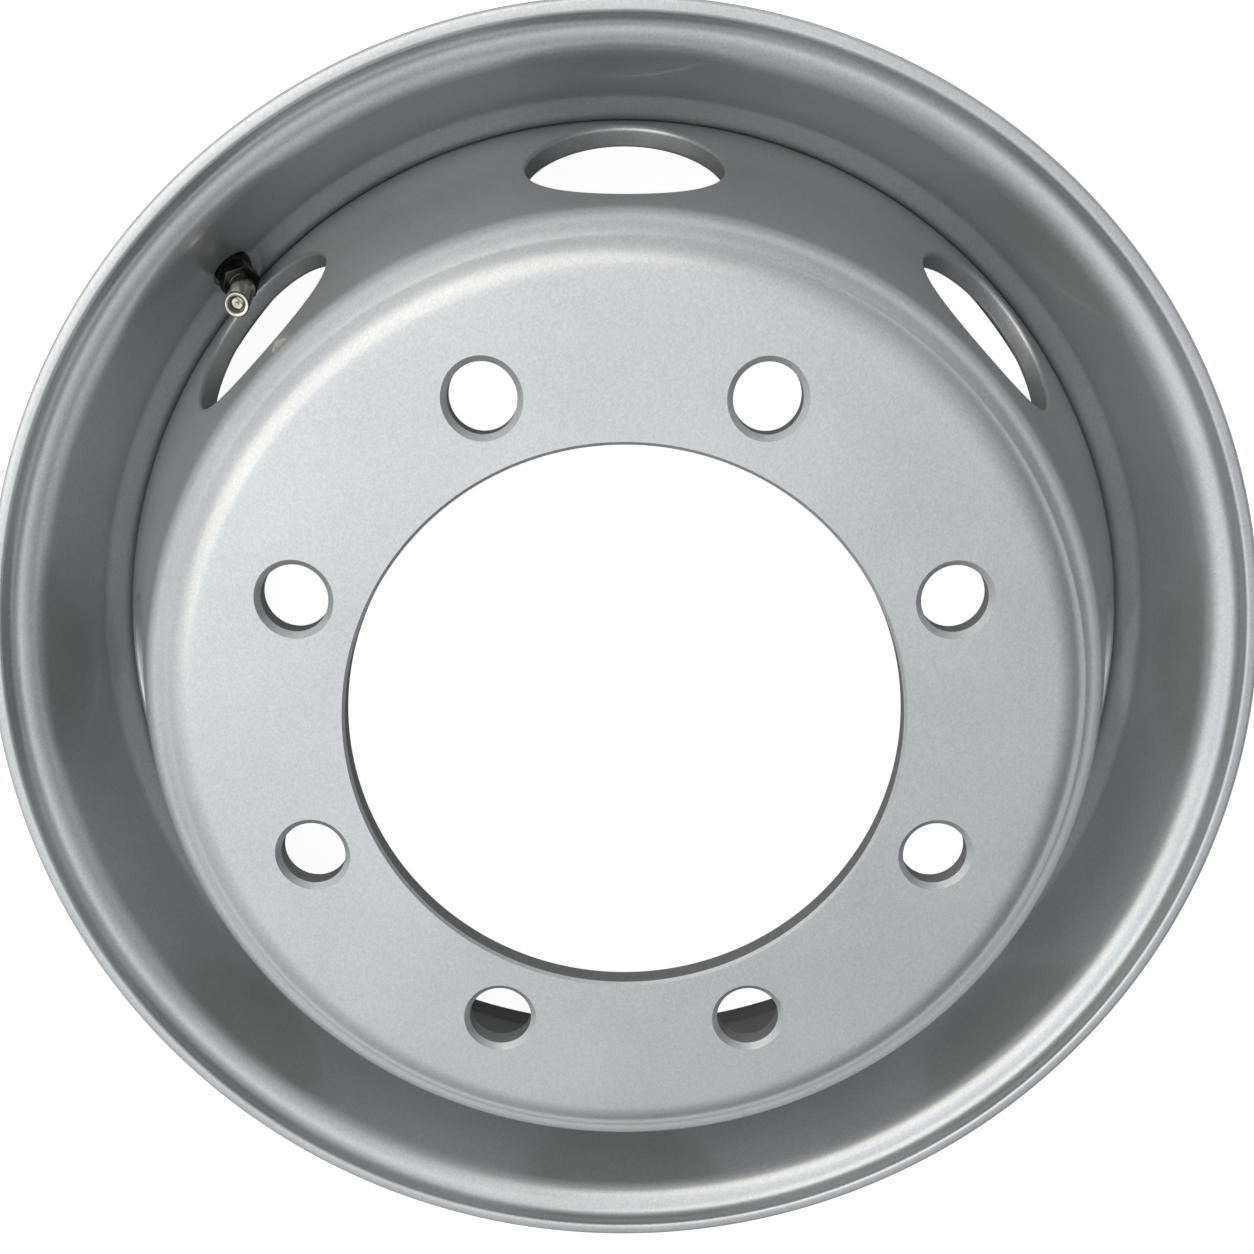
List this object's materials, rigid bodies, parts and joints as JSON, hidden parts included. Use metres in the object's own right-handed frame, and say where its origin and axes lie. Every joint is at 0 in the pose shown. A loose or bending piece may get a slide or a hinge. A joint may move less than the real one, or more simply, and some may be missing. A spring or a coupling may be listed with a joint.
{
  "type": "truck wheel rim",
  "caption": "Steel drop-centre truck wheel rim with a dished vented disc, hub bore, bolt circle and clamp-in tyre valve.",
  "frame": {"origin": "on the floor under the wheel's axis, at the lip of the inboard flange", "axes": "+Z along the wheel's axis, out of the outer face; the valve lies at 134 degrees from +X towards +Y"},
  "size_m": [0.5206, 0.5206, 0.2369],
  "materials": {
    "silver_paint": "semi-gloss aluminium-silver baked paint over steel",
    "stem_metal": "nickel-plated brass, bright at the mouth",
    "seal_rubber": "moulded black rubber, matt",
    "dark_plate": "turned steel with dark plating, edges worn bright",
    "core_brass": "plain turned brass"
  },
  "bodies": {
    "wheel": {"rim": "silver_paint", "disc": "silver_paint", "weld_bead": "silver_paint", "valve_stem": "stem_metal", "valve_grommet": "seal_rubber", "valve_washer": "dark_plate", "valve_nut": "dark_plate", "valve_core": "core_brass"},
    "core_pin": {"valve_core_pin": "core_brass"}
  },
  "joints": [
    {"name": "pin_press", "type": "slide", "parent": "wheel", "child": "core_pin", "axis": [-0.0967, 0.1001, -0.9903], "range_m": [0, 0.0012], "stiffness_N_per_m": 1200}
  ]
}
